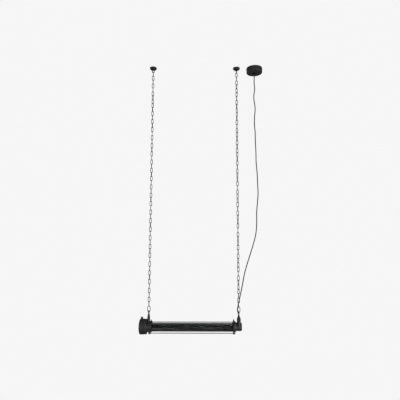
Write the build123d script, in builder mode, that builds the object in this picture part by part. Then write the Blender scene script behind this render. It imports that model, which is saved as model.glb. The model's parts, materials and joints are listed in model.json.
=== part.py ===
from build123d import *
import os
from math import pi, radians, sin, sqrt, tan

# A tube pendant lamp: a glass tube with a mesh sleeve in it is clamped by three tie rods between
# two cast ends, hangs on two long-link chains and takes its cord from a round ceiling canopy.
# Millimetres, +Z up, +X along the lamp, origin on the ceiling midway between the two chain hooks.

os.makedirs("parts", exist_ok=True)

# How closely an edge has to lie to the place it is looked for at
near = 0.01

# Where the lamp hangs
chain_spacing = 610.0
left_overhang = 62.0
right_overhang = 19.0

# Clearances
link_gap = 0.3
slip_gap = 0.4
thread_gap = 0.05
turning_gap = 0.1
loose_gap = 0.3

# Chains of long links
link_wire = 4.0
link_width = 16.5
link_pitch = 29.85
link_count = 57
end_link_width = 22.0
end_link_pitch = 34.0
left_twist_first = 4
left_twist_last = 11
right_twist_first = 3
right_twist_turns = 2.5
link_waver = 8.0
link_waver_step = 2.1

# Ceiling plates and their hooks
plate_diameter = 50.0
plate_height = 16.5
plate_rim = 8.0
plate_crown = 3.0
plate_screw_spacing = 30.0
plate_screw_diameter = 4.5
plate_screw_head = 8.6
plate_screw_web = 4.0
hook_wire = 5.0
hook_width = 20.0
hook_drop = 36.5
hook_loop = 17.0
hook_shank = 6.0
hook_shank_in = 8.0
hook_collar = 11.0

# Canopy and what it covers
canopy_x = 437.0
canopy_y = 5.0
canopy_diameter = 114.5
canopy_height = 35.5
canopy_wall = 1.5
canopy_edge = 4.0
bracket_width = 24.0
bracket_sheet = 2.0
bracket_tab = 14.0
bracket_screw_spacing = 60.0
bracket_screw_diameter = 5.0
bracket_wire_hole = 8.0
side_screw_diameter = 4.0
side_screw_head = 7.0
side_screw_head_height = 1.6
side_screw_length = 7.0
block_length = 30.0
block_width = 17.0
block_height = 11.0
block_screw = 4.0
block_screw_depth = 3.0
block_poles = 3
grip_thread = 12.0
grip_flange = 18.0
grip_flange_height = 4.0
grip_taper = 12.0
grip_tip = 10.0
grip_nut_flats = 17.0
grip_nut_height = 4.0
grip_thread_over = 1.0

# Cast left end and its cover
cover_lip = 1.0
cover_depth = 33.0
cover_wall = 4.0
cover_end = 5.0
cover_edge = 9.0
cover_pad_inset = 13.0
cover_pad_height = 1.5
cover_seal_thick = 1.5
cover_seal_inset = 2.5
drum_diameter = 100.0
drum_depth = 17.0
drum_edge = 4.0
spigot_length = 24.0
spigot_wall = 4.6
shoulder_wall = 7.0
neck_diameter = 73.0
neck_length = 33.0
neck_fillet = 4.0
screw_boss_diameter = 16.0
screw_boss_height = 2.5
screw_from_end = 16.5
screw_thread = 5.0
screw_head_diameter = 17.0
screw_head_height = 7.0
screw_collar_height = 2.0
screw_flutes = 18
screw_flute = 1.2

# Cast right end
flange_diameter = 71.0
flange_depth = 18.0
cap_diameter = 56.0
cap_body = 41.0
cap_wall = 4.0
cap_end_wall = 6.0
cap_step = 5.0
cap_step_inset = 2.0
cap_edge = 2.0

# Pointed screws that lock the glass in its sockets
left_lock_screw_diameter = 8.0
left_lock_screw_height = 9.5
left_lock_screw_inset = 3.8
right_lock_screw_inset = 5.5
right_lock_screw_diameter = 10.5
right_lock_screw_height = 15.0
lock_screw_tip = 4.0
lock_screw_in = 1.4
lock_screw_seat = 0.6
lock_screw_straight = 1 / 3

# Tie rods, ears, nuts and washers
rod_circle = 86.0
rod_count = 3
rod_diameter = 5.0
rod_hole = 5.5
rod_over = 0.8
rod_chamfer = 0.5
ear_radius = 7.5
ear_thick = 9.0
left_ear_inset = 10.0
right_ear_inset = 3.0
nut_flats = 8.0
nut_height = 3.4
washer_diameter = 10.0
washer_thick = 0.8

# Glass tube, its seals and the mesh sleeve
glass_diameter = 65.0
glass_wall = 2.5
left_socket_depth = 16.0
right_socket_depth = 15.0
glass_seal_thick = 2.0
seat_diameter = 54.0
mesh_diameter = 52.0
mesh_sheet = 0.8
mesh_short = 3.0
mesh_rest_gap = 0.2

# Tubular lamp, its holders and their carriers
lamp_diameter = 26.0
lamp_cap_diameter = 27.0
lamp_cap_length = 18.0
lamp_cap_edge = 1.5
pin_diameter = 2.4
pin_spacing = 12.7
pin_length = 7.0
holder_width = 26.0
holder_height = 34.0
holder_depth = 17.5
holder_corner = 6.0
holder_recess = 8.0
holder_face_gap = 0.5
strap_end_gap = 3.0
strap_width = 24.0
strap_sheet = 2.0
strap_screw_inset = 4.5
strap_screw_diameter = 4.0
strap_screw_head = 7.0
strap_screw_head_height = 2.4
strap_screw_in = 3.5
post_diameter = 16.0
post_foot = 30.0
post_foot_height = 3.0

# Hangers and eyes
eye_height = 94.4
eye_wire = 8.0
eye_ring = 18.0
eye_stem = 7.0
eye_stem_in = 10.0
eye_neck = 1.5
hanger_spigot = 9.0
hanger_spigot_in = 9.0
left_boss_height = 50.0
left_boss_base = 23.5
left_boss_top = 20.0
left_hanger_tip = 15.0
right_boss_height = 52.0
right_boss_diameter = 26.0
right_hanger_tip = 10.5
hanger_land = 2.0

# Cord and the gland that it goes into
cord_diameter = 7.0
cord_gap = 0.15
gland_forward = 23.5
gland_lug_diameter = 20.0
gland_lug_height = 42.0
gland_lug_foot = 1.0
gland_lug_floor = 2.0
gland_bore_depth = 12.0
lead_bore = 10.0
gland_thread = 12.0
gland_thread_in = 8.0
gland_hex_flats = 18.0
gland_hex_height = 7.0
gland_nut_flats = 17.0
gland_nut_height = 9.0
gland_nut_mouth = 11.0
gland_seal_height = 2.0
cord_inside = 2.0
cord_rise = 14.7
cord_bend_share = 0.45
lead_diameter = 2.2
lead_spacing = 3.0
lead_reach = 5.0
lead_drop = 12.0
lead_spread = 10.0
lead_side = 11.5
lead_bend = 3.0

# Heights and stations that follow from the sizes above
half_spacing = chain_spacing / 2
link_length = link_pitch + link_wire + link_gap
end_link_length = end_link_pitch + link_wire + link_gap
hook_seat = (hook_wire + link_wire) / 2 + link_gap
left_hook_z = -hook_drop
right_hook_z = -hook_drop - hook_seat
left_first_top = left_hook_z + hook_seat
right_first_top = right_hook_z + hook_seat
chain_run = link_pitch * (link_count - 1) + end_link_length
left_last_bottom = left_first_top - chain_run
eye_radius = eye_ring / 2
eye_seat = eye_radius - (eye_wire + link_wire) / 2 - link_gap
lamp_axis = left_last_bottom - eye_seat - eye_height
right_eye_height = eye_height + right_first_top - left_first_top

cover_x = -half_spacing - left_overhang
cover_rim_x = cover_x + cover_depth
drum_x = cover_rim_x + cover_seal_thick
shoulder_x = drum_x + drum_depth
neck_end_x = shoulder_x + neck_length
spigot_x = drum_x - spigot_length
back_wall_x = shoulder_x - shoulder_wall
left_seat_x = neck_end_x - left_socket_depth
cap_end_x = half_spacing + right_overhang
flange_end_x = cap_end_x - cap_body
flange_x = flange_end_x - flange_depth
right_seat_x = flange_x + right_socket_depth
cavity_end_x = cap_end_x - cap_end_wall
left_ear_x = neck_end_x - left_ear_inset - ear_thick
right_ear_x = flange_x + right_ear_inset
left_lock_x = neck_end_x - left_lock_screw_inset
right_lock_x = flange_x + right_lock_screw_inset

cover_radius = drum_diameter / 2 + cover_lip
cover_bore = cover_radius - cover_wall
spigot_radius = cover_bore - slip_gap
drum_cavity = spigot_radius - spigot_wall
neck_radius = neck_diameter / 2
glass_radius = glass_diameter / 2
glass_bore = glass_radius - glass_wall
socket_radius = glass_radius + slip_gap
seat_radius = seat_diameter / 2
strap_length = 2 * (drum_cavity - strap_end_gap)
strap_screw_spacing = strap_length - 2 * strap_screw_inset
cap_radius = cap_diameter / 2
cap_cavity = cap_radius - cap_wall
flange_radius = flange_diameter / 2
rod_radius = rod_circle / 2
cord_radius = cord_diameter / 2
cord_bore = cord_radius + cord_gap

# Planes and axes that pieces are drawn on
lamp_plane = Plane(origin=(0, 0, lamp_axis), x_dir=(1, 0, 0), z_dir=(0, -1, 0))
lamp_line = Axis((0, 0, lamp_axis), (1, 0, 0))


def across(x):
    # The plane square to the lamp's axis at x, with local x along Y and local y up.
    return Plane(origin=(x, 0, lamp_axis), x_dir=(0, 1, 0), z_dir=(1, 0, 0))


def upright(x, y, z):
    # An upright plane through a point, with local x along X and local y up.
    return Plane(origin=(x, y, z), x_dir=(1, 0, 0), z_dir=(0, -1, 0))


def upright_line(x, y):
    return Axis((x, y, 0), (0, 0, 1))


def outline(plane, *points):
    # A closed straight-sided outline on a plane.
    with BuildSketch(plane) as shape:
        with BuildLine():
            Polyline(*points, close=True)
        make_face()
    return shape.sketch


def ring_edges(piece, x, radius):
    # The circles about the lamp's axis at x with that radius.
    rings = piece.edges().filter_by(GeomType.CIRCLE)
    return rings.filter_by(lambda e: abs(e.arc_center.X - x) < near and abs(e.radius - radius) < near)


def level_edges(piece, z, radius):
    # The level circles at height z with that radius.
    rings = piece.edges().filter_by(GeomType.CIRCLE)
    return rings.filter_by(lambda e: abs(e.arc_center.Z - z) < near and abs(e.radius - radius) < near)


def save(piece, name):
    piece.part.label = name
    export_step(piece.part, f"parts/{name}.step")


# Ceiling plates: turned domes with a tapped hole for the hook and two countersunk screw holes
def ceiling_plate(x):
    radius = plate_diameter / 2
    with BuildPart() as plate:
        with BuildSketch(upright(x, 0, 0)):
            with BuildLine():
                Line((0, 0), (radius, 0))
                Line((radius, 0), (radius, -plate_rim))
                SagittaArc((radius, -plate_rim), (hook_collar / 2, -plate_height), plate_crown)
                Line((hook_collar / 2, -plate_height), (0, -plate_height))
                Line((0, -plate_height), (0, 0))
            make_face()
        revolve(axis=upright_line(x, 0))
        with Locations((x, 0, -plate_height)):
            Cylinder(
                hook_shank / 2 + thread_gap,
                hook_shank_in,
                align=(Align.CENTER, Align.CENTER, Align.MIN),
                mode=Mode.SUBTRACT,
            )
        for side in (-1, 1):
            seat = Plane(origin=(x, side * plate_screw_spacing / 2, -plate_screw_web), z_dir=(0, 0, -1))
            with Locations(seat):
                CounterSinkHole(plate_screw_diameter / 2, plate_screw_head / 2, depth=plate_height)
    return plate


# Hooks: a closed loop of wire under a collar and a shank that goes up into the plate
def wire_loop(wire, width, length):
    # A loop of round wire in the upright XZ plane whose top wire is centred on the origin.
    bend = (width - wire) / 2
    with BuildPart() as loop:
        with BuildLine(Plane.XZ):
            Line((bend, -bend), (bend, bend - length))
            CenterArc((0, bend - length), bend, 0, -180)
            Line((-bend, bend - length), (-bend, -bend))
            CenterArc((0, -bend), bend, 180, -180)
        with BuildSketch(Plane(origin=(bend, 0, -bend), z_dir=(0, 0, -1))):
            Circle(wire / 2)
        sweep()
    return loop


def ceiling_hook(x, bottom_z, turn):
    top_z = bottom_z + hook_loop
    loop = wire_loop(hook_wire, hook_width, hook_loop)
    with BuildPart() as hook:
        with Locations(Location((x, 0, top_z), (0, 0, turn))):
            add(loop.part)
        with Locations((x, 0, -plate_height)):
            Cylinder(
                hook_collar / 2,
                -plate_height - top_z,
                align=(Align.CENTER, Align.CENTER, Align.MAX),
            )
            Cylinder(
                hook_shank / 2,
                hook_shank_in,
                align=(Align.CENTER, Align.CENTER, Align.MIN),
            )
    return hook


save(ceiling_plate(-half_spacing), "left_ceiling_plate")
save(ceiling_plate(half_spacing), "right_ceiling_plate")
save(ceiling_hook(-half_spacing, left_hook_z, 0), "left_ceiling_hook")
save(ceiling_hook(half_spacing, right_hook_z, 90), "right_ceiling_hook")


# Chains: each link is turned a quarter from the one above, and a slow twist ends with the last link
# square to the lamp's eye; the two end links at each end are square to their neighbours, and the
# last link is a larger one that joins the chain to the eye
left_twist = 90 * (link_count % 2)
right_twist = 360 * right_twist_turns - 90 * ((link_count + 1) % 2)


def twist_share(n, first, last):
    return min(max((n - first) / (last - first), 0), 1)


def waver(n):
    inner = 2 < n < link_count - 1
    return link_waver * sin(link_waver_step * n) if inner else 0


def left_link(n):
    turn = 90 * n + left_twist * twist_share(n, left_twist_first, left_twist_last) + waver(n)
    return Location((-half_spacing, 0, left_first_top - link_pitch * (n - 1)), (0, 0, turn))


def right_link(n):
    share = twist_share(n, right_twist_first, link_count - right_twist_first + 1)
    turn = 90 * (n - 1) + right_twist * share + waver(n)
    return Location((half_spacing, 0, right_first_top - link_pitch * (n - 1)), (0, 0, turn))


def links(place, first, last, width=link_width, length=link_length):
    link = wire_loop(link_wire, width, length)
    with BuildPart() as run:
        with Locations(*[place(n) for n in range(first, last + 1)]):
            add(link.part)
    return run


save(links(left_link, 1, 1), "left_top_link")
save(links(right_link, 1, 1), "right_top_link")
save(links(left_link, 2, link_count - 1), "left_chain")
save(links(right_link, 2, link_count - 1), "right_chain")
left_end_link = links(left_link, link_count, link_count, end_link_width, end_link_length)
right_end_link = links(right_link, link_count, link_count, end_link_width, end_link_length)
save(left_end_link, "left_bottom_link")
save(right_end_link, "right_bottom_link")

# Canopy: a drawn cup held by two side screws to a strap bracket on the ceiling
canopy_radius = canopy_diameter / 2
canopy_inside = canopy_radius - canopy_wall
canopy_floor = -canopy_height + canopy_wall
side_screw_z = -bracket_sheet - bracket_tab / 2
bracket_half = sqrt(canopy_inside**2 - (bracket_width / 2) ** 2) - loose_gap
block_bottom = -bracket_sheet - block_height

with BuildPart() as canopy_cup:
    with Locations((canopy_x, canopy_y, 0)):
        Cylinder(canopy_radius, canopy_height, align=(Align.CENTER, Align.CENTER, Align.MAX))
    fillet(level_edges(canopy_cup, -canopy_height, canopy_radius), canopy_edge)
    offset(amount=-canopy_wall, openings=canopy_cup.faces().sort_by(Axis.Z)[-1])
    with Locations((canopy_x, canopy_y, canopy_floor)):
        Cylinder(grip_thread / 2 + thread_gap, 4 * canopy_wall, mode=Mode.SUBTRACT)
    with Locations(Location((canopy_x, canopy_y, side_screw_z), (0, 90, 0))):
        Cylinder(side_screw_diameter / 2 + turning_gap, 2 * canopy_diameter, mode=Mode.SUBTRACT)
save(canopy_cup, "canopy_cup")

with BuildPart() as canopy_bracket:
    with Locations((canopy_x, canopy_y, 0)):
        Box(2 * bracket_half, bracket_width, bracket_sheet, align=(Align.CENTER, Align.CENTER, Align.MAX))
    for side in (-1, 1):
        with Locations((canopy_x + side * (bracket_half - bracket_sheet / 2), canopy_y, -bracket_sheet)):
            Box(bracket_sheet, bracket_width, bracket_tab, align=(Align.CENTER, Align.CENTER, Align.MAX))
        with Locations((canopy_x + side * bracket_screw_spacing / 2, canopy_y, 0)):
            Cylinder(bracket_screw_diameter / 2, 4 * bracket_sheet, mode=Mode.SUBTRACT)
    with Locations((canopy_x, canopy_y, 0)):
        Cylinder(bracket_wire_hole / 2, 4 * bracket_sheet, mode=Mode.SUBTRACT)
    with Locations(Location((canopy_x, canopy_y, side_screw_z), (0, 90, 0))):
        Cylinder(side_screw_diameter / 2 + thread_gap, 2 * canopy_diameter, mode=Mode.SUBTRACT)
save(canopy_bracket, "canopy_bracket")

with BuildPart() as canopy_side_screws:
    for side in (-1, 1):
        head = Plane(
            origin=(canopy_x + side * canopy_radius, canopy_y, side_screw_z), z_dir=(side, 0, 0)
        )
        with BuildSketch(head):
            Circle(side_screw_head / 2)
        extrude(amount=side_screw_head_height)
        with BuildSketch(head):
            Circle(side_screw_diameter / 2)
        extrude(amount=-side_screw_length)
save(canopy_side_screws, "canopy_side_screws")

with BuildPart() as terminal_block:
    with Locations((canopy_x, canopy_y, -bracket_sheet)):
        Box(block_length, block_width, block_height, align=(Align.CENTER, Align.CENTER, Align.MAX))
    chamfer(terminal_block.edges().filter_by(Axis.X), block_screw_depth / 2)
    pole_pitch = block_length / block_poles
    row_pitch = block_width - 2 * block_screw
    for row in (-1, 1):
        for pole in range(block_poles):
            x = canopy_x + (pole - (block_poles - 1) / 2) * pole_pitch
            with Locations((x, canopy_y + row * row_pitch / 2, block_bottom)):
                Cylinder(
                    block_screw / 2,
                    block_screw_depth,
                    align=(Align.CENTER, Align.CENTER, Align.MIN),
                    mode=Mode.SUBTRACT,
                )
save(terminal_block, "terminal_block")

# Cord grip: a threaded bush with a tapered sleeve, held by a nut inside the canopy
grip_bottom = -canopy_height - grip_flange_height - grip_taper
grip_top = canopy_floor + grip_nut_height + grip_thread_over
with BuildPart() as cord_grip:
    grip_profile = outline(
        upright(canopy_x, canopy_y, 0),
        (cord_bore, grip_top),
        (grip_thread / 2, grip_top),
        (grip_thread / 2, -canopy_height),
        (grip_flange / 2, -canopy_height),
        (grip_flange / 2, -canopy_height - grip_flange_height),
        (grip_thread / 2 + cord_gap, -canopy_height - grip_flange_height),
        (grip_tip / 2, grip_bottom),
        (cord_bore, grip_bottom),
    )
    revolve(grip_profile, axis=upright_line(canopy_x, canopy_y))
save(cord_grip, "cord_grip")

with BuildPart() as grip_nut:
    with BuildSketch(Plane(origin=(canopy_x, canopy_y, canopy_floor))):
        RegularPolygon(grip_nut_flats / 2, 6, major_radius=False)
        Circle(grip_thread / 2 + thread_gap, mode=Mode.SUBTRACT)
    extrude(amount=grip_nut_height)
save(grip_nut, "grip_nut")


# Ears for the tie rods, spread evenly round the lamp's axis with one at the bottom
def rod_places(radius=rod_radius):
    return PolarLocations(radius, rod_count, start_angle=-90)


def ears(x, root_radius):
    with BuildPart() as lugs:
        with BuildSketch(across(x)):
            with rod_places():
                Circle(ear_radius)
                Rectangle(rod_radius - root_radius, 2 * ear_radius, align=(Align.MAX, Align.CENTER))
        extrude(amount=ear_thick)
    return lugs


def rod_holes(x):
    with BuildPart() as holes:
        with BuildSketch(across(x)):
            with rod_places():
                Circle(rod_hole / 2)
        extrude(amount=ear_thick)
    return holes


# Lock screws: pointed, each on a flat spot of its casting
def lock_seat(x, casting_radius, diameter):
    # The flat spot and the hole that are cut for a lock screw.
    with BuildPart() as cut:
        with Locations((x, 0, lamp_axis + casting_radius - lock_screw_seat)):
            Cylinder(
                diameter / 2 + thread_gap,
                2 * lock_screw_seat,
                align=(Align.CENTER, Align.CENTER, Align.MIN),
            )
            Cylinder(
                lock_screw_tip / 2 + thread_gap,
                lock_screw_in,
                align=(Align.CENTER, Align.CENTER, Align.MAX),
            )
    return cut


def lock_screw(x, casting_radius, diameter, height):
    with BuildPart() as screw:
        profile = outline(
            upright(x, 0, lamp_axis + casting_radius - lock_screw_seat),
            (0, -lock_screw_in),
            (lock_screw_tip / 2, -lock_screw_in),
            (lock_screw_tip / 2, 0),
            (diameter / 2, 0),
            (diameter / 2, height * lock_screw_straight),
            (lock_screw_tip / 2, height),
            (0, height),
        )
        revolve(profile, axis=upright_line(x, 0))
    return screw


# Left casting: spigot for the cover, drum, neck with ears, glass socket and the hanger's boss
with BuildPart() as left_housing:
    left_body = outline(
        lamp_plane,
        (spigot_x, 0),
        (spigot_x, spigot_radius),
        (drum_x, spigot_radius),
        (drum_x, drum_diameter / 2),
        (shoulder_x, drum_diameter / 2),
        (shoulder_x, neck_radius),
        (neck_end_x, neck_radius),
        (neck_end_x, 0),
    )
    revolve(left_body, axis=lamp_line)
    fillet(ring_edges(left_housing, shoulder_x, drum_diameter / 2), drum_edge)
    fillet(ring_edges(left_housing, shoulder_x, neck_radius), neck_fillet)
    add(ears(left_ear_x, glass_radius).part)
    left_boss = outline(
        upright(-half_spacing, 0, lamp_axis),
        (0, seat_radius),
        (left_boss_base / 2, seat_radius),
        (left_boss_top / 2, left_boss_height),
        (0, left_boss_height),
    )
    revolve(left_boss, axis=upright_line(-half_spacing, 0))
    left_hollow = outline(
        lamp_plane,
        (spigot_x, 0),
        (spigot_x, drum_cavity),
        (back_wall_x, drum_cavity),
        (back_wall_x, seat_radius),
        (left_seat_x, seat_radius),
        (left_seat_x, socket_radius),
        (neck_end_x, socket_radius),
        (neck_end_x, 0),
    )
    revolve(left_hollow, axis=lamp_line, mode=Mode.SUBTRACT)
    add(rod_holes(left_ear_x).part, mode=Mode.SUBTRACT)
    with Locations((-half_spacing, 0, lamp_axis + left_boss_height)):
        Cylinder(
            hanger_spigot / 2 + thread_gap,
            hanger_spigot_in,
            align=(Align.CENTER, Align.CENTER, Align.MAX),
            mode=Mode.SUBTRACT,
        )
    add(lock_seat(left_lock_x, neck_radius, left_lock_screw_diameter).part, mode=Mode.SUBTRACT)
    for side in (-1, 1):
        with Locations(across(back_wall_x) * Location((side * strap_screw_spacing / 2, 0, 0))):
            Cylinder(
                strap_screw_diameter / 2 + thread_gap,
                strap_screw_in,
                align=(Align.CENTER, Align.CENTER, Align.MIN),
                mode=Mode.SUBTRACT,
            )
save(left_housing, "left_housing")

# Cover over the left end: a rounded cup that slips over the spigot, with a boss for its thumb screw
cover_screw_x = cover_x + screw_from_end
screw_boss_top = cover_radius + screw_boss_height
with BuildPart() as end_cover:
    cover_body = outline(
        lamp_plane,
        (cover_x, 0),
        (cover_x, cover_radius - cover_pad_inset),
        (cover_x + cover_pad_height, cover_radius - cover_pad_inset),
        (cover_x + cover_pad_height, cover_radius),
        (cover_rim_x, cover_radius),
        (cover_rim_x, 0),
    )
    revolve(cover_body, axis=lamp_line)
    fillet(ring_edges(end_cover, cover_x + cover_pad_height, cover_radius), cover_edge)
    with Locations((cover_screw_x, 0, lamp_axis + cover_bore)):
        Cylinder(
            screw_boss_diameter / 2,
            cover_wall + screw_boss_height,
            align=(Align.CENTER, Align.CENTER, Align.MIN),
        )
    cover_hollow = outline(
        lamp_plane,
        (cover_x + cover_end, 0),
        (cover_x + cover_end, cover_bore - cover_edge / 2),
        (cover_x + cover_end + cover_edge / 2, cover_bore),
        (cover_rim_x, cover_bore),
        (cover_rim_x, 0),
    )
    revolve(cover_hollow, axis=lamp_line, mode=Mode.SUBTRACT)
    with Locations((cover_screw_x, 0, lamp_axis + cover_radius)):
        Cylinder(screw_thread / 2 + turning_gap, 4 * cover_wall, mode=Mode.SUBTRACT)
save(end_cover, "end_cover")

with BuildPart() as cover_seal:
    with BuildSketch(across(cover_rim_x)):
        Circle(drum_diameter / 2 - cover_seal_inset)
        Circle(spigot_radius + slip_gap / 2, mode=Mode.SUBTRACT)
    extrude(amount=cover_seal_thick)
save(cover_seal, "cover_seal")

# Thumb screw: a fluted head on a collar, with a shank that presses on the spigot
screw_tip_z = lamp_axis + spigot_radius + loose_gap
screw_collar_z = lamp_axis + screw_boss_top + loose_gap
with BuildPart() as cover_screw:
    with BuildSketch(Plane(origin=(cover_screw_x, 0, screw_tip_z))):
        Circle(screw_thread / 2)
    extrude(amount=screw_collar_z - screw_tip_z)
    with BuildSketch(Plane(origin=(cover_screw_x, 0, screw_collar_z))):
        Circle(screw_head_diameter / 2 - 2 * screw_flute)
    extrude(amount=screw_collar_height)
    with BuildSketch(Plane(origin=(cover_screw_x, 0, screw_collar_z + screw_collar_height))):
        Circle(screw_head_diameter / 2)
        with PolarLocations(screw_head_diameter / 2, screw_flutes):
            Circle(screw_flute / 2, mode=Mode.SUBTRACT)
    extrude(amount=screw_head_height)
save(cover_screw, "cover_screw")

# Right casting: flange with ears, small cap, hanger boss and the lug that takes the cord's gland
with BuildPart() as right_housing:
    right_body = outline(
        lamp_plane,
        (flange_x, 0),
        (flange_x, flange_radius),
        (flange_end_x, flange_radius),
        (flange_end_x, cap_radius),
        (cap_end_x - cap_step, cap_radius),
        (cap_end_x - cap_step, cap_radius - cap_step_inset),
        (cap_end_x, cap_radius - cap_step_inset),
        (cap_end_x, 0),
    )
    revolve(right_body, axis=lamp_line)
    fillet(ring_edges(right_housing, flange_end_x, flange_radius), cap_edge)
    fillet(ring_edges(right_housing, cap_end_x, cap_radius - cap_step_inset), cap_edge)
    add(ears(right_ear_x, glass_radius).part)
    with Locations((half_spacing, 0, lamp_axis)):
        Cylinder(
            right_boss_diameter / 2,
            right_boss_height,
            align=(Align.CENTER, Align.CENTER, Align.MIN),
        )
    with Locations((half_spacing, -gland_forward, lamp_axis + gland_lug_foot)):
        Cylinder(
            gland_lug_diameter / 2,
            gland_lug_height - gland_lug_foot,
            align=(Align.CENTER, Align.CENTER, Align.MIN),
        )
    right_hollow = outline(
        lamp_plane,
        (flange_x, 0),
        (flange_x, socket_radius),
        (right_seat_x, socket_radius),
        (right_seat_x, cap_cavity),
        (cavity_end_x, cap_cavity),
        (cavity_end_x, 0),
    )
    revolve(right_hollow, axis=lamp_line, mode=Mode.SUBTRACT)
    add(rod_holes(right_ear_x).part, mode=Mode.SUBTRACT)
    with Locations((half_spacing, 0, lamp_axis + right_boss_height)):
        Cylinder(
            hanger_spigot / 2 + thread_gap,
            hanger_spigot_in,
            align=(Align.CENTER, Align.CENTER, Align.MAX),
            mode=Mode.SUBTRACT,
        )
    with Locations((half_spacing, -gland_forward, lamp_axis + gland_lug_height)):
        Cylinder(
            gland_thread / 2 + thread_gap,
            gland_bore_depth,
            align=(Align.CENTER, Align.CENTER, Align.MAX),
            mode=Mode.SUBTRACT,
        )
        Cylinder(
            lead_bore / 2,
            gland_lug_height - gland_lug_foot - gland_lug_floor,
            align=(Align.CENTER, Align.CENTER, Align.MAX),
            mode=Mode.SUBTRACT,
        )
    add(lock_seat(right_lock_x, flange_radius, right_lock_screw_diameter).part, mode=Mode.SUBTRACT)
save(right_housing, "right_housing")

left_point = lock_screw(left_lock_x, neck_radius, left_lock_screw_diameter, left_lock_screw_height)
right_point = lock_screw(right_lock_x, flange_radius, right_lock_screw_diameter, right_lock_screw_height)
save(left_point, "left_lock_screw")
save(right_point, "right_lock_screw")

# Tie rods with a washer and a nut on both sides of each ear
rod_start_x = left_ear_x - washer_thick - nut_height - rod_over
rod_end_x = right_ear_x + ear_thick + washer_thick + nut_height + rod_over
rod_names = ("bottom_tie_rod", "back_tie_rod", "front_tie_rod")
for place, rod_name in zip(rod_places().local_locations, rod_names):
    with BuildPart() as tie_rod:
        with BuildSketch(across(rod_start_x)):
            with Locations((place.position.X, place.position.Y)):
                Circle(rod_diameter / 2)
        extrude(amount=rod_end_x - rod_start_x)
        chamfer(tie_rod.edges().filter_by(GeomType.CIRCLE), rod_chamfer)
    save(tie_rod, rod_name)


def rod_nuts(ear_x):
    outer_x = ear_x - washer_thick - nut_height
    inner_x = ear_x + ear_thick + washer_thick
    with BuildPart() as nuts:
        for x in (outer_x, inner_x):
            with BuildSketch(across(x)):
                with rod_places():
                    RegularPolygon(nut_flats / 2, 6, major_radius=False)
                    Circle(rod_diameter / 2 + thread_gap, mode=Mode.SUBTRACT)
            extrude(amount=nut_height)
    return nuts


def rod_washers(ear_x):
    with BuildPart() as washers:
        for x in (ear_x - washer_thick, ear_x + ear_thick):
            with BuildSketch(across(x)):
                with rod_places():
                    Circle(washer_diameter / 2)
                    Circle(rod_hole / 2, mode=Mode.SUBTRACT)
            extrude(amount=washer_thick)
    return washers


save(rod_nuts(left_ear_x), "left_rod_nuts")
save(rod_nuts(right_ear_x), "right_rod_nuts")
save(rod_washers(left_ear_x), "left_rod_washers")
save(rod_washers(right_ear_x), "right_rod_washers")

# Glass tube between its two flat seals, and the mesh sleeve that lies on the bottom of the glass
glass_start_x = left_seat_x + glass_seal_thick
glass_end_x = right_seat_x - glass_seal_thick


def pipe(x_start, x_end, radius, bore, drop=0.0):
    with BuildPart() as tube:
        with BuildSketch(across(x_start)):
            with Locations((0, -drop)):
                Circle(radius)
                Circle(bore, mode=Mode.SUBTRACT)
        extrude(amount=x_end - x_start)
    return tube


mesh_radius = mesh_diameter / 2
mesh_drop = glass_bore - mesh_radius - mesh_rest_gap
save(pipe(glass_start_x, glass_end_x, glass_radius, glass_bore), "glass_tube")
save(pipe(left_seat_x, glass_start_x, glass_radius, seat_radius), "left_glass_seal")
save(pipe(glass_end_x, right_seat_x, glass_radius, seat_radius), "right_glass_seal")
mesh_sleeve = pipe(
    glass_start_x + mesh_short,
    glass_end_x - mesh_short,
    mesh_radius,
    mesh_radius - mesh_sheet,
    mesh_drop,
)
save(mesh_sleeve, "mesh_sleeve")

# Lamp holders: rounded blocks with a round recess in which the lamp's pins turn
left_holder_x = back_wall_x
left_face_x = left_holder_x + holder_depth
right_face_x = flange_end_x + strap_sheet
right_holder_end_x = right_face_x + holder_depth
pin_reach = pin_spacing / 2 + pin_diameter / 2 + loose_gap


def lamp_holder(face_x, away):
    with BuildPart() as holder:
        with BuildSketch(across(face_x)):
            RectangleRounded(holder_width, holder_height, holder_corner)
        extrude(amount=away * holder_depth)
        with BuildSketch(across(face_x)):
            Circle(pin_reach)
        extrude(amount=away * holder_recess, mode=Mode.SUBTRACT)
    return holder


save(lamp_holder(left_face_x, -1), "left_lamp_holder")
save(lamp_holder(right_face_x, 1), "right_lamp_holder")

# Left carrier: a strap across the drum's back wall, with its two screws
with BuildPart() as left_holder_strap:
    with BuildSketch(across(back_wall_x)):
        RectangleRounded(strap_length, strap_width, holder_corner)
        with Locations((-strap_screw_spacing / 2, 0), (strap_screw_spacing / 2, 0)):
            Circle(strap_screw_diameter / 2 + turning_gap, mode=Mode.SUBTRACT)
    extrude(amount=-strap_sheet)
save(left_holder_strap, "left_holder_strap")

with BuildPart() as strap_screws:
    for side in (-1, 1):
        with BuildSketch(across(back_wall_x - strap_sheet)):
            with Locations((side * strap_screw_spacing / 2, 0)):
                Circle(strap_screw_head / 2)
        extrude(amount=-strap_screw_head_height)
        with BuildSketch(across(back_wall_x - strap_sheet)):
            with Locations((side * strap_screw_spacing / 2, 0)):
                Circle(strap_screw_diameter / 2)
        extrude(amount=strap_sheet + strap_screw_in - loose_gap)
save(strap_screws, "strap_screws")

# Right carrier: a post with a round foot on the cap's end wall
with BuildPart() as right_holder_post:
    with BuildSketch(across(right_holder_end_x)):
        Circle(post_diameter / 2)
    extrude(amount=cavity_end_x - right_holder_end_x)
    with BuildSketch(across(cavity_end_x)):
        Circle(post_foot / 2)
    extrude(amount=-post_foot_height)
save(right_holder_post, "right_holder_post")

# Tubular lamp with a metal cap and two pins at each end
lamp_start_x = left_face_x + holder_face_gap
lamp_end_x = right_face_x - holder_face_gap
with BuildPart() as tube_lamp:
    with BuildSketch(across(lamp_start_x + lamp_cap_length)):
        Circle(lamp_diameter / 2)
    extrude(amount=lamp_end_x - lamp_start_x - 2 * lamp_cap_length)
save(tube_lamp, "tube_lamp")


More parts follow.
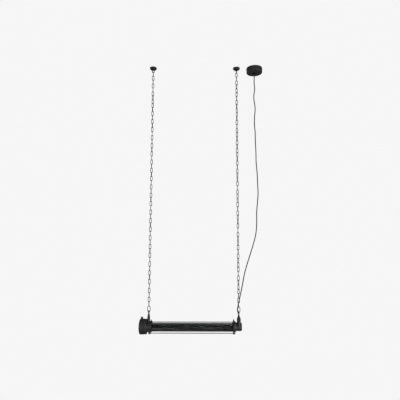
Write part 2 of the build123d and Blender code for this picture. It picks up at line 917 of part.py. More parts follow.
def lamp_cap(end_x, inward):
    with BuildPart() as cap:
        with BuildSketch(across(end_x)):
            Circle(lamp_cap_diameter / 2)
        extrude(amount=inward * lamp_cap_length)
        fillet(ring_edges(cap, end_x, lamp_cap_diameter / 2), lamp_cap_edge)
        with BuildSketch(across(end_x)):
            with Locations((0, -pin_spacing / 2), (0, pin_spacing / 2)):
                Circle(pin_diameter / 2)
        extrude(amount=-inward * pin_length)
    return cap


save(lamp_cap(lamp_start_x, 1), "left_lamp_cap")
save(lamp_cap(lamp_end_x, -1), "right_lamp_cap")


# Hangers: turned cones screwed into the castings' bosses, each with an eye screwed in at the top
def hanger(x, *profile):
    with BuildPart() as cone:
        revolve(outline(upright(x, 0, lamp_axis), *profile), axis=upright_line(x, 0))
    return cone


def hanger_outline(boss_height, base, tip, top):
    bottom = boss_height - hanger_spigot_in + loose_gap
    stem = eye_stem / 2 + thread_gap
    return (
        (0, bottom),
        (hanger_spigot / 2, bottom),
        (hanger_spigot / 2, boss_height),
        (base / 2, boss_height),
        (tip / 2, top - hanger_land),
        (tip / 2, top),
        (stem, top),
        (stem, top - eye_stem_in),
        (0, top - eye_stem_in),
    )


def eye(x, height, hanger_top):
    ring_bottom = height - eye_radius
    with BuildPart() as ring:
        with Locations((x, 0, lamp_axis + height)):
            Torus(eye_radius, eye_wire / 2, rotation=(0, 90, 0))
        with Locations((x, 0, lamp_axis + ring_bottom)):
            Cylinder(
                eye_stem / 2,
                ring_bottom - hanger_top + eye_stem_in - loose_gap,
                align=(Align.CENTER, Align.CENTER, Align.MAX),
            )
    return ring


left_hanger_top = eye_height - eye_radius - eye_wire / 2 - eye_neck
right_hanger_top = right_eye_height - eye_radius - eye_wire / 2 - eye_neck
left_cone = hanger_outline(left_boss_height, left_boss_top, left_hanger_tip, left_hanger_top)
right_cone = hanger_outline(right_boss_height, right_boss_diameter, right_hanger_tip, right_hanger_top)
save(hanger(-half_spacing, *left_cone), "left_hanger")
save(hanger(half_spacing, *right_cone), "right_hanger")
save(eye(-half_spacing, eye_height, left_hanger_top), "left_eye")
save(eye(half_spacing, right_eye_height, right_hanger_top), "right_eye")

# Gland: a hexagon body in the lug, a soft seal on it and a domed nut over the seal
gland_x = half_spacing
gland_y = -gland_forward
gland_z = lamp_axis + gland_lug_height
gland_neck_z = gland_z + gland_hex_height
gland_top_z = gland_neck_z + gland_nut_height
with BuildPart() as gland_body:
    with BuildSketch(Plane(origin=(gland_x, gland_y, gland_z))):
        RegularPolygon(gland_hex_flats / 2, 6, major_radius=False)
    extrude(amount=gland_hex_height)
    with BuildSketch(Plane(origin=(gland_x, gland_y, gland_z - gland_thread_in))):
        Circle(gland_thread / 2)
    extrude(amount=gland_thread_in)
    with BuildSketch(Plane(origin=(gland_x, gland_y, gland_z - gland_thread_in))):
        Circle(cord_bore)
    extrude(amount=gland_thread_in + gland_hex_height, mode=Mode.SUBTRACT)
save(gland_body, "gland_body")

with BuildPart() as gland_seal:
    with BuildSketch(Plane(origin=(gland_x, gland_y, gland_neck_z))):
        Circle(gland_thread / 2)
        Circle(cord_bore, mode=Mode.SUBTRACT)
    extrude(amount=gland_seal_height)
save(gland_seal, "gland_seal")

with BuildPart() as gland_nut:
    with BuildSketch(Plane(origin=(gland_x, gland_y, gland_neck_z))):
        RegularPolygon(gland_nut_flats / 2, 6, major_radius=False)
    extrude(amount=gland_nut_height)
    nut_dome = outline(
        upright(gland_x, gland_y, gland_neck_z),
        (gland_nut_mouth / 2, gland_nut_height),
        (gland_nut_flats, gland_nut_height),
        (gland_nut_flats, gland_nut_height - gland_nut_flats + gland_nut_mouth / 2),
    )
    revolve(nut_dome, axis=upright_line(gland_x, gland_y), mode=Mode.SUBTRACT)
    with BuildSketch(Plane(origin=(gland_x, gland_y, gland_neck_z))):
        Circle(gland_thread / 2 + thread_gap)
    extrude(amount=gland_seal_height, mode=Mode.SUBTRACT)
    with BuildSketch(Plane(origin=(gland_x, gland_y, gland_neck_z))):
        Circle(cord_bore)
    extrude(amount=gland_nut_height, mode=Mode.SUBTRACT)
save(gland_nut, "gland_nut")

# Cord: from the terminal block down through the grip, beside the right chain and into the gland;
# it is cut midway between the last point of one piece and the first of the next, where the hanging
# lamp's joints bend it
cord_end_z = gland_z - gland_thread_in - cord_inside
cord_runs = {
    "upper_cord": (
        (canopy_x, canopy_y, block_bottom),
        (canopy_x, canopy_y, -60),
        (433, 4.8, -111),
        (439.5, 4.6, -156),
        (427.5, 4.4, -224),
        (441, 4.1, -302),
        (434, 3.9, -361),
        (431, 3.7, -421),
        (437, 3.5, -485),
    ),
    "middle_cord": (
        (436.5, 3.3, -559),
        (440, 3.1, -633),
        (439, 2.6, -707),
        (446.5, 2.1, -781),
        (447, 1.6, -855),
        (451, 1.1, -925),
        (444.5, 0.6, -993),
        (437.5, 0.1, -1055),
        (437, -0.8, -1121),
        (434.5, -1.8, -1179),
        (425, -3, -1237),
    ),
    "lower_cord": (
        (406.5, -4.6, -1297),
        (385.5, -6.4, -1361),
        (365, -8.6, -1421),
        (346.5, -11, -1479),
        (335.5, -13.4, -1537),
        (323.5, -16, -1593),
        (311.5, -18.5, -1643),
        (300, -20.5, -1690),
    ),
    "end_cord": (
        (294.5, -22.2, -1726),
        (gland_x, gland_y, gland_top_z + cord_rise),
        (gland_x, gland_y, cord_end_z),
    ),
}


def middle(a, b):
    return (a + b) / 2


def cord_piece(points):
    # A round tube along straight runs joined by arcs as large as the runs allow.
    runs = [b - a for a, b in zip(points, points[1:])]
    turns = [a.get_angle(b) for a, b in zip(runs, runs[1:])]
    radii = [
        cord_bend_share * min(a.length, b.length) / tan(radians(turn) / 2)
        for a, b, turn in zip(runs, runs[1:], turns)
    ]
    with BuildPart() as tube:
        with BuildLine() as path:
            FilletPolyline(*points, radius=radii)
        with BuildSketch(Plane(origin=points[0], z_dir=runs[0])):
            Circle(cord_radius)
        sweep()
    length = sum(edge.length for edge in path.edges())
    full = tube.part.volume / (pi * cord_radius**2 * length)
    print(f"cord piece {length:.0f} mm, radii {min(radii):.0f} to {max(radii):.0f}, full {full:.4f}")
    return tube


runs = [[Vector(*point) for point in run] for run in cord_runs.values()]
for cord_name, above, run, below in zip(cord_runs, [None, *runs], runs, [*runs[1:], None]):
    points = [*run]
    if above:
        points = [middle(above[-1], run[0]), *points]
    if below:
        points = [*points, middle(run[-1], below[0])]
    save(cord_piece(points), cord_name)

# Leads: two cores from the cord's end, down into the cap and across to the right holder's back
with BuildPart() as lamp_leads:
    for side in (-1, 1):
        start = (gland_x + side * lead_spacing / 2, gland_y, cord_end_z)
        bend_x = gland_x + lead_reach
        bend_z = lamp_axis + side * lead_spread / 2
        with BuildLine():
            FilletPolyline(
                start,
                (start[0], gland_y, lamp_axis + lead_drop),
                (bend_x, -lead_side, bend_z),
                (right_holder_end_x, -lead_side, bend_z),
                radius=lead_bend,
            )
        with BuildSketch(Plane(origin=start, z_dir=(0, 0, -1))):
            Circle(lead_diameter / 2)
        sweep()
save(lamp_leads, "lamp_leads")
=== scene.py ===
import bmesh
import bpy
import json
import math
from mathutils import Matrix, Vector


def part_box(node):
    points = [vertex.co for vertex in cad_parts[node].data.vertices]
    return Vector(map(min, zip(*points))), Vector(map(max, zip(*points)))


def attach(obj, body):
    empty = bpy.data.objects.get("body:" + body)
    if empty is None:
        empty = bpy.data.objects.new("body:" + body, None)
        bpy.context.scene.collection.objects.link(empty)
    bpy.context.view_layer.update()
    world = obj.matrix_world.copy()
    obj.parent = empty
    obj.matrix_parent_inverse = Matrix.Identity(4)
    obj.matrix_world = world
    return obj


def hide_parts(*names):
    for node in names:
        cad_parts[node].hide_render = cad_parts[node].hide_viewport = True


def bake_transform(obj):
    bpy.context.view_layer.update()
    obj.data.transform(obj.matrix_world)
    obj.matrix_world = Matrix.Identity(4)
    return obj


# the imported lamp, z = 0 at the ceiling; sizes in metres, angles in degrees
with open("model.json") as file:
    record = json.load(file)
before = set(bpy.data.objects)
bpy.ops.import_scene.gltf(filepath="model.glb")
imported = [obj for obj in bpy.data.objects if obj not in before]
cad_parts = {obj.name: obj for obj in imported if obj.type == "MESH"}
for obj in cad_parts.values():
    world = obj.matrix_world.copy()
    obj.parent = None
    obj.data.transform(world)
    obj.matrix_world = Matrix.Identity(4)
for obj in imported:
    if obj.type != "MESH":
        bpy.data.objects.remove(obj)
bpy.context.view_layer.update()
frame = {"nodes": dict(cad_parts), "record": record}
nodes = frame["nodes"]
scene = bpy.context.scene
print("frame loaded,", len(nodes), "nodes")

# camera: in front of the lamp and a little above it, looking up slightly and leaning by a trace
cameraLook = {
    "place": (0.0403, -2.6187, -1.2960),
    "pitchUp": 6.95,
    "lean": 0.155,
    "lens": 33.75,
    "sensor": 36.0,
    "clipEnd": 100,
}
cameraData = bpy.data.cameras.new("photoCamera")
cameraData.lens = cameraLook["lens"]
cameraData.sensor_width = cameraLook["sensor"]
cameraData.clip_end = cameraLook["clipEnd"]
photoCamera = bpy.data.objects.new("photoCamera", cameraData)
photoCamera.matrix_world = (
    Matrix.Translation(cameraLook["place"])
    @ Matrix.Rotation(math.radians(90 + cameraLook["pitchUp"]), 4, "X")
    @ Matrix.Rotation(math.radians(cameraLook["lean"]), 4, "Z")
)
scene.collection.objects.link(photoCamera)
scene.camera = photoCamera
print("camera placed")

noiseBand = (0.3, 0.7)  # most values of a noise lie between these


# shader helpers: each finish is a small node tree on its own coordinates
def newFinish(name):
    finish = bpy.data.materials.new(name)
    finish.use_nodes = True
    tree = finish.node_tree
    shader = next(n for n in tree.nodes if n.type == "BSDF_PRINCIPLED")
    return finish, tree, shader


# a socket is linked, anything else is set as the input's own value
def plug(tree, node, inputs):
    for key, value in inputs.items():
        if isinstance(value, bpy.types.NodeSocket):
            tree.links.new(value, node.inputs[key])
        else:
            node.inputs[key].default_value = value


def addNode(tree, kind, inputs=None, **settings):
    node = tree.nodes.new(kind)
    for key, value in settings.items():
        setattr(node, key, value)
    plug(tree, node, inputs or {})
    return node


def coordsOf(tree, kind):
    return addNode(tree, "ShaderNodeTexCoord").outputs[kind]


def mathOf(tree, operation, first, second):
    return addNode(tree, "ShaderNodeMath", {0: first, 1: second}, operation=operation).outputs["Value"]


def speckle(tree, coords, scale, detail=3.0, rough=0.55):
    inputs = {"Vector": coords, "Scale": scale, "Detail": detail, "Roughness": rough}
    return addNode(tree, "ShaderNodeTexNoise", inputs).outputs["Fac"]


def toneRamp(tree, value, dark, light, band=noiseBand):
    ramp = addNode(tree, "ShaderNodeValToRGB", {"Fac": value})
    for element, position, tone in zip(ramp.color_ramp.elements, band, (dark, light)):
        element.position = position
        element.color = (*tone, 1)
    return ramp.outputs["Color"]


def spread(tree, value, low, high, band=noiseBand):
    inputs = {"Value": value, "From Min": band[0], "From Max": band[1], "To Min": low, "To Max": high}
    return addNode(tree, "ShaderNodeMapRange", inputs).outputs["Result"]


def emboss(tree, height, strength, depth):
    inputs = {"Height": height, "Strength": strength, "Distance": depth}
    return addNode(tree, "ShaderNodeBump", inputs).outputs["Normal"]


def grainedFinish(name, look):
    finish, tree, shader = newFinish(name)
    coords = coordsOf(tree, "Object")
    patches = speckle(tree, coords, look["patchScale"])
    grain = speckle(tree, coords, look["grainScale"], detail=2.0)
    plug(tree, shader, {
        "Base Color": toneRamp(tree, patches, look["dark"], look["light"]),
        "Roughness": spread(tree, patches, *look["roughness"]),
        "Normal": emboss(tree, grain, look["bump"], look["bumpDepth"]),
        "Metallic": look.get("metallic", 0.0),
        "Specular IOR Level": look.get("specular", 0.5),
    })
    return finish


finishLooks = {
    "black_casting": {
        "dark": (0.012, 0.012, 0.013), "light": (0.02, 0.02, 0.022), "roughness": (0.54, 0.66),
        "patchScale": 60, "grainScale": 1400, "bump": 0.22, "bumpDepth": 0.0003,
    },
    "black_ceiling_metal": {
        "dark": (0.012, 0.012, 0.013), "light": (0.02, 0.02, 0.022), "roughness": (0.48, 0.58),
        "patchScale": 40, "grainScale": 1800, "bump": 0.12, "bumpDepth": 0.0002,
    },
    "black_chain": {
        "dark": (0.008, 0.008, 0.009), "light": (0.018, 0.018, 0.02), "roughness": (0.34, 0.5),
        "patchScale": 120, "grainScale": 2200, "bump": 0.15, "bumpDepth": 0.0002,
    },
    "black_fittings": {
        "dark": (0.014, 0.014, 0.015), "light": (0.028, 0.028, 0.03), "roughness": (0.26, 0.36),
        "patchScale": 90, "grainScale": 2600, "bump": 0.1, "bumpDepth": 0.0002,
    },
    "black_mesh": {
        "dark": (0.016, 0.0165, 0.018), "light": (0.026, 0.027, 0.03), "roughness": (0.6, 0.72),
        "patchScale": 50, "grainScale": 2000, "bump": 0.12, "bumpDepth": 0.0002, "specular": 0.25,
    },
    "seal_rubber": {
        "dark": (0.012, 0.012, 0.012), "light": (0.02, 0.02, 0.02), "roughness": (0.6, 0.75),
        "patchScale": 200, "grainScale": 3000, "bump": 0.2, "bumpDepth": 0.0002,
    },
    "lead_plastic": {
        "dark": (0.16, 0.07, 0.035), "light": (0.24, 0.11, 0.055), "roughness": (0.35, 0.45),
        "patchScale": 300, "grainScale": 3000, "bump": 0.05, "bumpDepth": 0.0001,
    },
    "cap_metal": {
        "dark": (0.5, 0.5, 0.5), "light": (0.64, 0.64, 0.65), "roughness": (0.25, 0.38), "metallic": 1.0,
        "patchScale": 150, "grainScale": 2500, "bump": 0.06, "bumpDepth": 0.0001,
    },
    "holder_plastic": {
        "dark": (0.66, 0.66, 0.63), "light": (0.76, 0.76, 0.73), "roughness": (0.38, 0.5),
        "patchScale": 120, "grainScale": 2600, "bump": 0.08, "bumpDepth": 0.0002,
    },
    "grip_plastic": {
        "dark": (0.002, 0.002, 0.002), "light": (0.004, 0.004, 0.004), "roughness": (0.6, 0.75),
        "patchScale": 160, "grainScale": 2600, "bump": 0.14, "bumpDepth": 0.0002, "specular": 0.15,
    },
    "plated_steel": {
        "dark": (0.36, 0.36, 0.37), "light": (0.52, 0.52, 0.53), "roughness": (0.26, 0.42), "metallic": 1.0,
        "patchScale": 180, "grainScale": 2800, "bump": 0.06, "bumpDepth": 0.0001,
    },
}
finishes = {slot: grainedFinish(slot, look) for slot, look in finishLooks.items()}

# clear glass with a trace of colour and a slightly uneven surface
glassLook = {
    "tint": (0.985, 0.99, 0.995, 1), "ior": 1.32, "roughness": (0.01, 0.03),
    "waveScale": 14, "bump": 0.02, "bumpDepth": 0.0005,
}
finishes["clear_glass"], tree, shader = newFinish("clear_glass")
waves = speckle(tree, coordsOf(tree, "Object"), glassLook["waveScale"], detail=1.0)
plug(tree, shader, {
    "Base Color": glassLook["tint"],
    "Transmission Weight": 1.0,
    "IOR": glassLook["ior"],
    "Roughness": spread(tree, waves, *glassLook["roughness"]),
    "Normal": emboss(tree, waves, glassLook["bump"], glassLook["bumpDepth"]),
})

# opal tube: milky, with a faint cloudiness
opalLook = {
    "dark": (0.62, 0.62, 0.6), "light": (0.7, 0.7, 0.68), "roughness": (0.3, 0.4),
    "cloudScale": 40, "milk": 0.2, "milkReach": (0.004, 0.004, 0.004),
}
finishes["opal_tube"], tree, shader = newFinish("opal_tube")
clouds = speckle(tree, coordsOf(tree, "Object"), opalLook["cloudScale"])
plug(tree, shader, {
    "Base Color": toneRamp(tree, clouds, opalLook["dark"], opalLook["light"]),
    "Roughness": spread(tree, clouds, *opalLook["roughness"]),
    "Subsurface Weight": opalLook["milk"],
    "Subsurface Radius": opalLook["milkReach"],
})

# braided textile: two crossing sets of strands along the tube's own coordinates
braidLook = {
    "strandScale": 2.2, "strandLeans": (45, -45), "strandWobble": 0.4, "strandDetail": 1.0,
    "dark": (0.006, 0.006, 0.006), "light": (0.022, 0.021, 0.022), "toneBand": (0.2, 0.9),
    "roughness": (0.75, 0.95), "bump": 0.5, "bumpDepth": 0.0003, "sheen": 0.1, "sheenRoughness": 0.5,
}
finishes["textile_cord"], tree, shader = newFinish("textile_cord")
coords = coordsOf(tree, "UV")
strands = []
for lean in braidLook["strandLeans"]:
    mapping = addNode(tree, "ShaderNodeMapping", {"Vector": coords, "Rotation": (0, 0, math.radians(lean))})
    strand = addNode(tree, "ShaderNodeTexWave", {
        "Vector": mapping.outputs["Vector"],
        "Scale": braidLook["strandScale"],
        "Distortion": braidLook["strandWobble"],
        "Detail": braidLook["strandDetail"],
    })
    strands.append(strand.outputs["Fac"])
weave = mathOf(tree, "MAXIMUM", *strands)
plug(tree, shader, {
    "Base Color": toneRamp(tree, weave, braidLook["dark"], braidLook["light"], braidLook["toneBand"]),
    "Roughness": spread(tree, weave, *braidLook["roughness"]),
    "Normal": emboss(tree, weave, braidLook["bump"], braidLook["bumpDepth"]),
    "Sheen Weight": braidLook["sheen"],
    "Sheen Roughness": braidLook["sheenRoughness"],
})
print("finishes made,", len(finishes))


# mesh helpers, for the solids and for the pieces made here
def smoothFaces(mesh):
    mesh.polygons.foreach_set("use_smooth", [True] * len(mesh.polygons))


def crispEdges(piece, angle):
    crisp = piece.modifiers.new("crisp", "EDGE_SPLIT")
    crisp.split_angle = math.radians(angle)


def meshPiece(name, verts, faces, slot, uvs=None):
    mesh = bpy.data.meshes.new(name)
    mesh.from_pydata(verts, [], faces)
    smoothFaces(mesh)
    if uvs:
        layer = mesh.uv_layers.new(name="along")
        for loop in mesh.loops:
            layer.data[loop.index].uv = uvs[loop.vertex_index]
    mesh.update()
    piece = bpy.data.objects.new(name, mesh)
    piece.data.materials.append(finishes[slot])
    scene.collection.objects.link(piece)
    return piece


def tubeFaces(rings, sides):
    faces = []
    for i in range(rings - 1):
        for k in range(sides):
            a, b = i * sides + k, i * sides + (k + 1) % sides
            faces.append((a, b, b + sides, a + sides))
    faces.append(tuple(reversed(range(sides))))
    faces.append(tuple(range((rings - 1) * sides, rings * sides)))
    return faces


# carried-over solids: smooth on their curves, crisp on their edges, each in its own finish
solidLook = {"weld": 0.00001, "edgeAngle": 32}
slotOf = {entry["node"]: entry["material_slot"] for entry in frame["record"]["subparts"]}
for name, node in nodes.items():
    node.data.materials.clear()
    node.data.materials.append(finishes[slotOf[name]])
    smoothFaces(node.data)
    weld = node.modifiers.new("weld", "WELD")
    weld.merge_threshold = solidLook["weld"]
    crispEdges(node, solidLook["edgeAngle"])
print("solids dressed")

# cord: one smooth route from the terminal block to the gland, shown as four tubes
cordLook = {
    "diameter": 0.007,
    "sides": 28,
    "stepsPerRun": 26,
    "strands": 4,
    "braidDepth": 0.035,
    "braidPitch": 0.011,
    "cuts": (8, 19, 27),  # halfway from these route points to the next
    "exitDrop": 0.0225,  # from the block down to the canopy's rim
}
cordRoute = [
    (0.437, 0.005, -0.013),
    (0.437, 0.005, -0.06),
    (0.433, 0.0048, -0.111),
    (0.4395, 0.0046, -0.156),
    (0.4275, 0.0044, -0.224),
    (0.441, 0.0041, -0.302),
    (0.434, 0.0039, -0.361),
    (0.431, 0.0037, -0.421),
    (0.437, 0.0035, -0.485),
    (0.4365, 0.0033, -0.559),
    (0.44, 0.0031, -0.633),
    (0.439, 0.0026, -0.707),
    (0.4465, 0.0021, -0.781),
    (0.447, 0.0016, -0.855),
    (0.451, 0.0011, -0.925),
    (0.4445, 0.0006, -0.993),
    (0.4375, 0.0001, -1.055),
    (0.437, -0.0008, -1.121),
    (0.4345, -0.0018, -1.179),
    (0.425, -0.003, -1.237),
    (0.4065, -0.0046, -1.297),
    (0.3855, -0.0064, -1.361),
    (0.365, -0.0086, -1.421),
    (0.3465, -0.011, -1.479),
    (0.3355, -0.0134, -1.537),
    (0.3235, -0.016, -1.593),
    (0.3115, -0.0185, -1.643),
    (0.3, -0.0205, -1.69),
    (0.2945, -0.0222, -1.726),
    (0.305, -0.0235, -1.766),
    (0.305, -0.0235, -1.8067),
]


def splinePoints(route, steps):
    curve = bpy.data.curves.new("cordRoute", "CURVE")
    curve.dimensions = "3D"
    spline = curve.splines.new("NURBS")
    spline.points.add(len(route) - 1)
    for point, place in zip(spline.points, route):
        point.co = (*place, 1)
    spline.order_u = 3
    spline.use_endpoint_u = True
    spline.resolution_u = steps
    holder = bpy.data.objects.new("cordRoute", curve)
    mesh = bpy.data.meshes.new_from_object(holder)
    points = [v.co.copy() for v in mesh.vertices]
    bpy.data.objects.remove(holder)
    bpy.data.meshes.remove(mesh)
    bpy.data.curves.remove(curve)
    return points


def nearestPoint(points, place):
    return min(range(len(points)), key=lambda i: (points[i] - place).length)


def tubeFrames(points):
    tangents = []
    for i in range(len(points)):
        before = points[max(i - 1, 0)]
        after = points[min(i + 1, len(points) - 1)]
        tangents.append((after - before).normalized())
    side = tangents[0].orthogonal().normalized()
    frames = []
    for tangent in tangents:
        side = (side - tangent * side.dot(tangent)).normalized()
        frames.append((side, tangent.cross(side)))
    return frames


def cordTube(name, points, runStart):
    radius = cordLook["diameter"] / 2
    sides, strands, pitch = cordLook["sides"], cordLook["strands"], cordLook["braidPitch"]
    verts, uvs = [], []
    run = runStart
    for i, (point, (side, up)) in enumerate(zip(points, tubeFrames(points))):
        if i:
            run += (point - points[i - 1]).length
        twist = 2 * math.pi * run / pitch
        for k in range(sides):
            angle = 2 * math.pi * k / sides
            braid = math.cos(strands * angle + twist) * math.cos(strands * angle - twist)
            reach = radius * (1 - cordLook["braidDepth"] * (0.5 - 0.5 * braid))
            verts.append(point + side * math.cos(angle) * reach + up * math.sin(angle) * reach)
            uvs.append((k / sides * strands, run / pitch))
    faces = tubeFaces(len(points), sides)
    return meshPiece(name, verts, faces, "textile_cord", uvs), run


routePoints = splinePoints(cordRoute, cordLook["stepsPerRun"])
cutPlaces = [(Vector(cordRoute[c]) + Vector(cordRoute[c + 1])) / 2 for c in cordLook["cuts"]]
cordEnds = [0, *(nearestPoint(routePoints, place) for place in cutPlaces), len(routePoints) - 1]
# piece, solid it stands for, bodies above and below, a top and a bottom height
cordPieces = [
    ("upperCord", "upper_cord", "ceiling", "top_links", -0.08, -0.50),
    ("middleCord", "middle_cord", "top_links", "right_chain", -0.56, -1.24),
    ("lowerCord", "lower_cord", "right_chain", "bottom_links", -1.30, -1.69),
    ("endCord", "end_cord", "bottom_links", "lamp", -1.715, -1.765),
]
run = 0.0
for (name, node, above, below, blendTop, blendEnd), first, last in zip(cordPieces, cordEnds, cordEnds[1:]):
    points = routePoints[first:last + 1]
    cordPiece, run = cordTube(name, points, run)
    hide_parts(node)
    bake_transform(cordPiece)

# chains: welded wire links, each a quarter turn from the last with a slow twist; the last one is larger
chainLook = {
    "wire": 0.004, "gap": 0.0003, "links": 57, "width": 0.0165, "pitch": 0.02985,
    "endWidth": 0.022, "endPitch": 0.034, "spacing": 0.610,
    "left": {"side": -1, "top": -0.0317, "firstTurn": 90, "twist": (4, 11, 90)},  # from link, to link, by
    "right": {"side": 1, "top": -0.0365, "firstTurn": 0, "twist": (3, 55, 900)},
    "quarter": 90, "waver": 8, "waverStep": 2.1, "steadyEnds": 2,
    "sides": 12, "bendSteps": 12, "legSteps": 8, "weld": 0.10, "weldLength": 0.0018,
}


def linkPath(width, pitch):
    bend = (width - chainLook["wire"]) / 2
    length = pitch + chainLook["wire"] + chainLook["gap"]
    leg = length - 2 * bend
    path = []
    for i in range(chainLook["legSteps"]):
        path.append((bend, -bend - leg * i / chainLook["legSteps"]))
    for i in range(chainLook["bendSteps"]):
        turn = -math.pi * i / chainLook["bendSteps"]
        path.append((bend * math.cos(turn), bend - length + bend * math.sin(turn)))
    for i in range(chainLook["legSteps"]):
        path.append((-bend, bend - length + leg * i / chainLook["legSteps"]))
    for i in range(chainLook["bendSteps"]):
        turn = math.pi - math.pi * i / chainLook["bendSteps"]
        path.append((bend * math.cos(turn), -bend + bend * math.sin(turn)))
    return path, -length / 2


def addLink(verts, faces, place, width, pitch):
    path, weldAt = linkPath(width, pitch)
    sides, count, base = chainLook["sides"], len(path), len(verts)
    for i, (x, z) in enumerate(path):
        before, after = path[i - 1], path[(i + 1) % count]
        along = Vector((after[0] - before[0], 0, after[1] - before[1])).normalized()
        out = Vector((along.z, 0, -along.x))
        fromWeld = (z - weldAt) / chainLook["weldLength"]
        bead = chainLook["weld"] * math.exp(-(fromWeld ** 2)) if x > 0 else 0  # on one leg only
        reach = chainLook["wire"] / 2 * (1 + bead)
        for k in range(sides):
            angle = 2 * math.pi * k / sides
            around = out * math.cos(angle) + Vector((0, 1, 0)) * math.sin(angle)
            verts.append(place @ (Vector((x, 0, z)) + around * reach))
    for i in range(count):
        ring, nextRing = base + i * sides, base + (i + 1) % count * sides
        for k in range(sides):
            j = (k + 1) % sides
            faces.append((ring + k, nextRing + k, nextRing + j, ring + j))


def linkPlace(chain, n):
    first, last, twist = chain["twist"]
    share = min(max((n - first) / (last - first), 0), 1)
    turn = chain["firstTurn"] + chainLook["quarter"] * (n - 1) + twist * share
    if chainLook["steadyEnds"] < n <= chainLook["links"] - chainLook["steadyEnds"]:
        turn += chainLook["waver"] * math.sin(chainLook["waverStep"] * n)
    x = chain["side"] * chainLook["spacing"] / 2
    z = chain["top"] - chainLook["pitch"] * (n - 1)
    return Matrix.Translation((x, 0, z)) @ Matrix.Rotation(math.radians(turn), 4, "Z")


def chainPiece(name, body, cadNodes, places, width=chainLook["width"], pitch=chainLook["pitch"]):
    verts, faces = [], []
    for place in places:
        addLink(verts, faces, place, width, pitch)
    piece = meshPiece(name, verts, faces, "black_chain")
    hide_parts(*cadNodes)
    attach(piece, body)


left, right, lastLink = chainLook["left"], chainLook["right"], chainLook["links"]
inner = range(2, lastLink)
topPlaces = [linkPlace(left, 1), linkPlace(right, 1)]
endPlaces = [linkPlace(left, lastLink), linkPlace(right, lastLink)]
endSize = (chainLook["endWidth"], chainLook["endPitch"])
chainPiece("topLinks", "top_links", ("left_top_link", "right_top_link"), topPlaces)
chainPiece("leftChain", "left_chain", ("left_chain",), [linkPlace(left, n) for n in inner])
chainPiece("rightChain", "right_chain", ("right_chain",), [linkPlace(right, n) for n in inner])
chainPiece("bottomLinks", "bottom_links", ("left_bottom_link", "right_bottom_link"), endPlaces, *endSize)
print("chains made,", 2 * lastLink, "links")

# mesh sleeve: a rolled sheet with rows of diamond holes and plain bands at its ends
meshLook = {
    "sheet": 0.0008, "holesAround": 36, "holeLength": 0.0095, "open": 0.38, "band": 0.008, "edgeAngle": 40,
}


def meshSleeve():
    low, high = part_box("mesh_sleeve")
    axisZ = (low.z + high.z) / 2
    radius = (high.z - low.z) / 2
    start = low.x + meshLook["band"]
    end = high.x - meshLook["band"]
    rows = 2 * round((end - start) / meshLook["holeLength"])
    rowStep = (end - start) / rows
    columns = 2 * meshLook["holesAround"]
    turnStep = 2 * math.pi / columns
    diamond = ((-1, 0), (0, 1), (1, 0), (0, -1))
    verts, faces, known = [], [], {}

    def place(x, column):
        turn = column * turnStep
        verts.append((x, radius * math.sin(turn), axisZ + radius * math.cos(turn)))
        return len(verts) - 1

    def corner(row, column):
        key = (row, column % columns)
        if key not in known:
            known[key] = place(start + row * rowStep, key[1])
        return known[key]

    for row in range(1, rows):
        for column in range(row % 2, columns, 2):
            rim = [corner(row + down, column + over) for down, over in diamond]
            hole = []
            for down, over in diamond:
                holeX = start + (row + down * meshLook["open"]) * rowStep
                hole.append(place(holeX, column + over * meshLook["open"]))
            for k in range(len(diamond)):
                faces.append((rim[k - 1], rim[k], hole[k], hole[k - 1]))
    for row, inward, edgeX in ((0, 1, low.x), (rows, -1, high.x)):
        edge = [place(edgeX, column) for column in range(columns)]
        for column in range(columns):
            faces.append((edge[column - 1], edge[column], corner(row, column), corner(row, column - 1)))
        for column in range(row % 2, columns, 2):
            faces.append((corner(row, column - 1), corner(row, column), corner(row + inward, column)))
            faces.append((corner(row, column), corner(row, column + 1), corner(row + inward, column)))
    sleeve = meshPiece("meshSleeve", verts, faces, "black_mesh")
    shape = bmesh.new()
    shape.from_mesh(sleeve.data)
    bmesh.ops.recalc_face_normals(shape, faces=shape.faces)
    shape.to_mesh(sleeve.data)
    shape.free()
    thick = sleeve.modifiers.new("sheet", "SOLIDIFY")
    thick.thickness = meshLook["sheet"]
    thick.offset = -1
    crispEdges(sleeve, meshLook["edgeAngle"])
    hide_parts("mesh_sleeve")
    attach(sleeve, "lamp")
    print("mesh sleeve made,", len(faces), "faces")


meshSleeve()

# tie rods: plain in the middle, with a fine thread where the nuts run
rodLook = {
    "threadPitch": 0.0008, "threadDepth": 0.0004, "threadLength": 0.022, "stepsPerPitch": 5, "sides": 20,
    "edgeAngle": 60,
}


def threadedRod(name, cadNode):
    low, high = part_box(cadNode)
    centre = (low + high) / 2
    radius = (high.z - low.z) / 2
    pitch, sides = rodLook["threadPitch"], rodLook["sides"]
    count = round(rodLook["threadLength"] / pitch * rodLook["stepsPerPitch"])
    inset = [rodLook["threadLength"] * i / count for i in range(count + 1)]
    stations = [low.x + d for d in inset] + [high.x - d for d in reversed(inset)]
    verts = []
    for i, x in enumerate(stations):
        depth = 0 if i in (count, count + 1) else rodLook["threadDepth"]  # these two bound the plain middle
        for k in range(sides):
            turn = 2 * math.pi * k / sides
            phase = (x / pitch - k / sides) % 1
            reach = radius - depth * abs(2 * phase - 1)
            verts.append((x, centre.y + reach * math.cos(turn), centre.z + reach * math.sin(turn)))
    rod = meshPiece(name, verts, tubeFaces(len(stations), sides), "black_fittings")
    crispEdges(rod, rodLook["edgeAngle"])
    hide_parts(cadNode)
    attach(rod, "lamp")


threadedRod("bottomRod", "bottom_tie_rod")
threadedRod("backRod", "back_tie_rod")
threadedRod("frontRod", "front_tie_rod")
print("tie rods threaded")

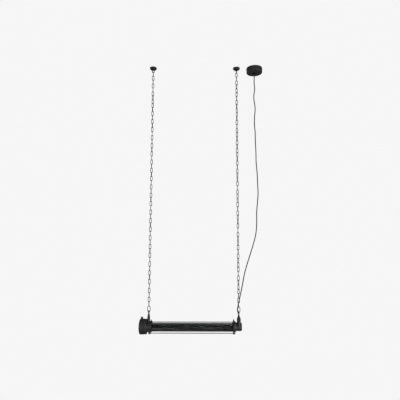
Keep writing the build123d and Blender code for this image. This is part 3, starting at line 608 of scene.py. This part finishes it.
# studio: a pale floor, a pale room that lights only a little, and soft lights around the lamp
studioLook = {
    "pale": 0.922, "floorZ": -2.6, "floorSize": 40.0,
    "roomLow": 0.14, "roomTop": 0.10, "roomBand": (-0.6, 0.8),
    "straightBelow": 0.5,  # a ray with fewer bounces than this comes straight
}
paleTone = (studioLook["pale"],) * 3 + (1,)
world = bpy.data.worlds.new("studio")
scene.world = world
world.use_nodes = True
tree = world.node_tree
tree.nodes.clear()
# the room's light: a grey that fades from below to above
height = addNode(tree, "ShaderNodeSeparateXYZ", {"Vector": coordsOf(tree, "Generated")}).outputs["Z"]
room = spread(tree, height, studioLook["roomLow"], studioLook["roomTop"], studioLook["roomBand"])
lit = addNode(tree, "ShaderNodeBackground", {"Color": room})
# the pale tone: for the camera, also straight through the glass, and for nothing else
seen = addNode(tree, "ShaderNodeBackground", {"Color": paleTone})
rays = addNode(tree, "ShaderNodeLightPath").outputs
bounces = mathOf(tree, "ADD", rays["Diffuse Depth"], rays["Glossy Depth"])
straight = mathOf(tree, "LESS_THAN", bounces, studioLook["straightBelow"])
throughGlass = mathOf(tree, "MULTIPLY", rays["Is Transmission Ray"], straight)
inView = mathOf(tree, "MAXIMUM", rays["Is Camera Ray"], throughGlass)
mix = addNode(tree, "ShaderNodeMixShader", {
    "Fac": inView, 1: lit.outputs["Background"], 2: seen.outputs["Background"],
})
addNode(tree, "ShaderNodeOutputWorld", {"Surface": mix.outputs["Shader"]})

half = studioLook["floorSize"] / 2
floorMesh = bpy.data.meshes.new("floor")
floorMesh.from_pydata(
    [(-half, -half, 0), (half, -half, 0), (half, half, 0), (-half, half, 0)], [], [(0, 1, 2, 3)]
)
floor = bpy.data.objects.new("floor", floorMesh)
floor.location = (0, 0, studioLook["floorZ"])
floor.visible_diffuse = False
floor.visible_glossy = False
floor.visible_transmission = False
floor.visible_shadow = False
scene.collection.objects.link(floor)
floorFinish, tree, shader = newFinish("pale_floor")
plug(tree, shader, {
    "Base Color": (0, 0, 0, 1),
    "Specular IOR Level": 0.0,
    "Emission Color": paleTone,
    "Emission Strength": 1.0,
})
floorMesh.materials.append(floorFinish)

lightLooks = {
    "softTop": {"place": (0.0, -0.9, 0.9), "aim": (0, 0, -1.85), "size": (2.6, 1.4), "power": 4},
    "softLeft": {"place": (-1.8, -2.5, -1.8), "aim": (-0.2, 0, -1.8), "size": (1.6, 1.6), "power": 24},
    "softFront": {"place": (2.2, -2.2, -1.8), "aim": (0.1, 0, -1.8), "size": (2.0, 2.0), "power": 100},
    "softBack": {"place": (-3.2, 2.0, -0.6), "aim": (0, 0, -1.5), "size": (3.0, 3.0), "power": 45},
}
for name, look in lightLooks.items():
    data = bpy.data.lights.new(name, "AREA")
    data.shape = "RECTANGLE"
    data.size, data.size_y = look["size"]
    data.energy = look["power"]
    light = bpy.data.objects.new(name, data)
    light.location = look["place"]
    towards = Vector(look["aim"]) - Vector(look["place"])
    light.rotation_euler = towards.to_track_quat("-Z", "Y").to_euler()
    scene.collection.objects.link(light)
scene.view_settings.view_transform = "Standard"
scene.view_settings.look = "None"
print("studio made")
